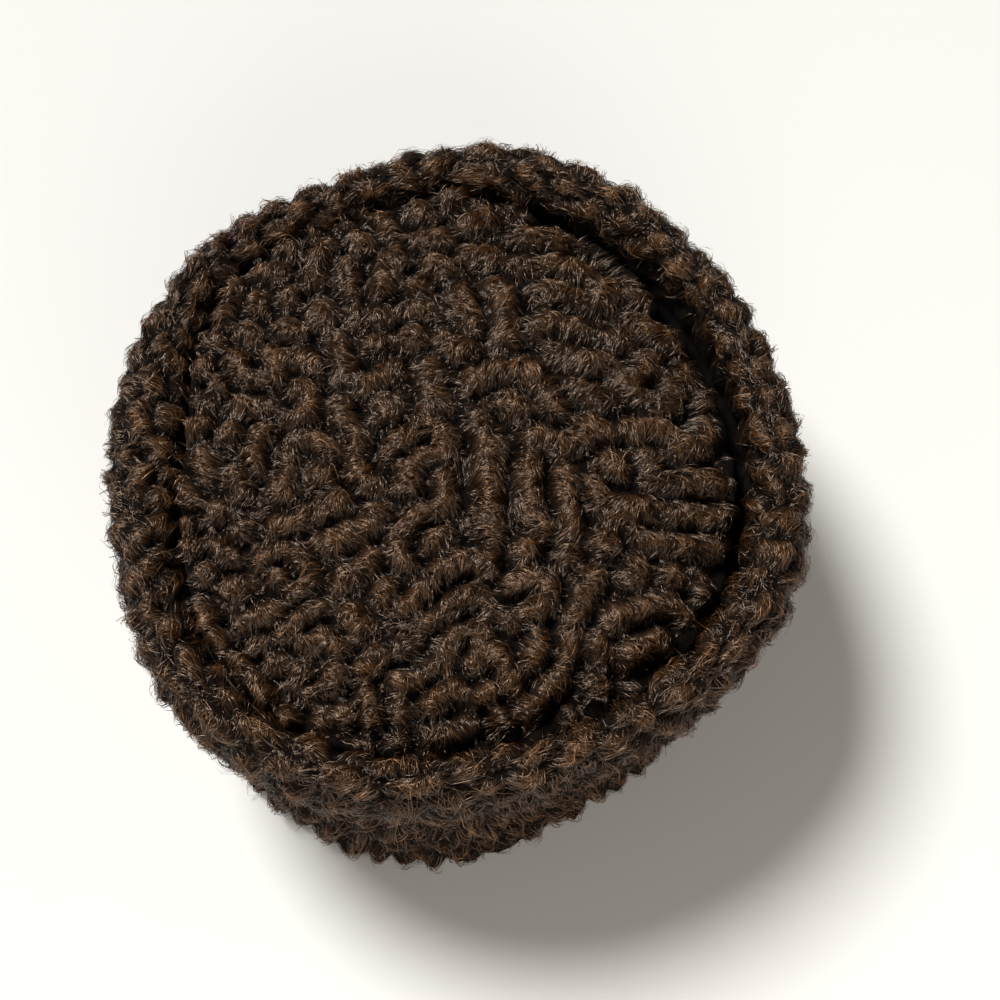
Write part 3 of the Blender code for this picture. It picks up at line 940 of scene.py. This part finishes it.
def cuff_section(angle):
    """The cuff's furred side, from under its lower edge over the crest and down into the crevice."""
    inner = head_radius(angle) + NECK + CLEARANCE
    thickness = CUFF_THICKNESS * outline("roll", angle)
    outer = inner + thickness
    base = HAT_HEIGHT - CUFF_HEIGHT + CLEARANCE
    tuck = thickness / 2
    low = base + CUFF_TUCK
    high = HAT_HEIGHT * outline("crest", angle) - CREST_ROUND
    points = arc((outer - CUFF_LEAN - tuck, base + CUFF_TUCK), tuck, CUFF_TUCK, -90, 0, 8)
    for share in np.arange(1, 10) / 10:
        lean = CUFF_LEAN * (1 - share) ** LEAN_POWER
        points.append((outer - lean + CUFF_BULGE * math.sin(math.pi * share), low + (high - low) * share))
    points += arc((outer - thickness / 2, high), thickness / 2, CREST_ROUND, 0, 180, 18)
    points.append((inner + CLEARANCE, base + CUFF_FUR_END))
    return points


def cuff_inside(angle):
    """The cuff's hidden inner side against the band."""
    inner = head_radius(angle) + NECK + CLEARANCE
    base = HAT_HEIGHT - CUFF_HEIGHT + CLEARANCE
    return [(inner, base + 12.0), (inner, base + 6.0), (inner, base)]


CUFF_WIDTH = 680
CUFF_ROWS = 194
waves = curl_waves(CUFF_WIDTH * 2, CUFF_ROWS + 24, CUFF_PITCH, 5, longest=1.2)
cuff_pelt = Pelt(ring_form(cuff_section, CUFF_ROWS, CUFF_WIDTH * 2), waves, CUFF_PITCH, True, depth=4.2)
# Painted shade: on the cuff's inner wall the crest, and so only the colour, is lowered, more where the
# crevice is deep.
inner_wall_shade = np.clip((np.arange(CUFF_ROWS) / CUFF_ROWS - 0.76) / 0.1, 0, 1)
deep = deep_crevice(math.tau * np.arange(CUFF_WIDTH * 2) / (CUFF_WIDTH * 2))
cuff_pelt.layers[..., 6] *= 1 - inner_wall_shade[:, None] * (0.4 + 0.35 * deep)  # dark down in the crevice
cuff = ring_base("rolled_cuff_pelt", cuff_pelt, 500, 52, cuff_inside, pelt_colour, band_skin)
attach(cuff, "root")
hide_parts("rolled_cuff")
# Painted light: the cuff's hair is a lighter copy of the crown's lamb hair, so the cuff stands brighter.
cuff_hair = fur_finish(
    "cuff_lamb_hair",
    dark=(0.010, 0.0033, 0.0006),
    middle=(0.073, 0.0280, 0.0066),
    light=(0.29, 0.160, 0.079),
)
x, y = scatter(cuff_pelt, 74000, 51, rows=(0.0, 0.87))
wear_hairs("rolled_cuff_hairs", cuff_pelt, x, y, outward, 53, cuff_hair, 2, length=6.5)

# FLOOR, LIGHT AND CAMERA. A plain pale floor under soft studio light, seen from the photograph's angle.

floor_mesh = bpy.data.meshes.new("floor")
reach = 15.0
ends = [(-reach, -reach, 0), (reach, -reach, 0), (reach, reach, 0), (-reach, reach, 0)]
floor_mesh.from_pydata(ends, [], [(0, 1, 2, 3)])
floor = bpy.data.objects.new("floor", floor_mesh)
bpy.context.scene.collection.objects.link(floor)
paper = Finish("pale_floor")
floor_mesh.materials.append(paper.wear(Base_Color=(0.34, 0.34, 0.335), Roughness=0.85))

world = bpy.data.worlds.new("studio")
world.use_nodes = True
world.node_tree.nodes["Background"].inputs[0].default_value = (1.0, 0.91, 0.80, 1)
world.node_tree.nodes["Background"].inputs[1].default_value = 0.24
bpy.context.scene.world = world


def softbox(name, place, size, power, colour=(1.0, 0.98, 0.95)):
    """A soft square light aimed at the hat."""
    lamp = bpy.data.lights.new(name, "AREA")
    lamp.energy = power
    lamp.size = size
    lamp.color = colour
    light = bpy.data.objects.new(name, lamp)
    light.location = place
    light.rotation_euler = (Vector((0, 0, 0.05)) - Vector(place)).to_track_quat("-Z", "Y").to_euler()
    bpy.context.scene.collection.objects.link(light)


softbox("fill", (0.2, -1.2, 0.5), 0.9, 22.0, (1.0, 0.93, 0.84))
sun = bpy.data.lights.new("key", "SUN")
sun.energy = 8.5
sun.angle = math.radians(22)
sun.color = (1.0, 0.985, 0.96)
key = bpy.data.objects.new("key", sun)
key.rotation_euler = Vector((0.6, -0.45, -1.15)).to_track_quat("-Z", "Y").to_euler()
bpy.context.scene.collection.objects.link(key)

PICTURE_MIDDLE = 500  # in pixels, across and down
PICTURE_FOCUS = 1530  # distance from the eye to the picture, in pixels
TOP_ACROSS = 455.3  # where the middle of the hat's top stands in the picture
TOP_DOWN = 428
TOP_HEIGHT = 0.088
TOP_AWAY = 0.4756

eye = bpy.data.cameras.new("eye")
eye.sensor_width = 36.0
eye.lens = 55.08
camera = bpy.data.objects.new("eye", eye)
bpy.context.scene.collection.objects.link(camera)
tilt = math.radians(60)
ahead = Vector((0, math.cos(tilt), -math.sin(tilt)))
right = Vector((1, 0, 0))
up = right.cross(ahead)
across = (TOP_ACROSS - PICTURE_MIDDLE) / PICTURE_FOCUS
down = (TOP_DOWN - PICTURE_MIDDLE) / PICTURE_FOCUS
ray = (ahead + right * across - up * down).normalized()
camera.matrix_world = Matrix((right, up, -ahead)).transposed().to_4x4()
camera.location = Vector((0, 0, TOP_HEIGHT)) - ray * TOP_AWAY
eye.clip_start = 0.01
eye.clip_end = 20
scene = bpy.context.scene
scene.camera = camera
scene.view_settings.view_transform = "Standard"
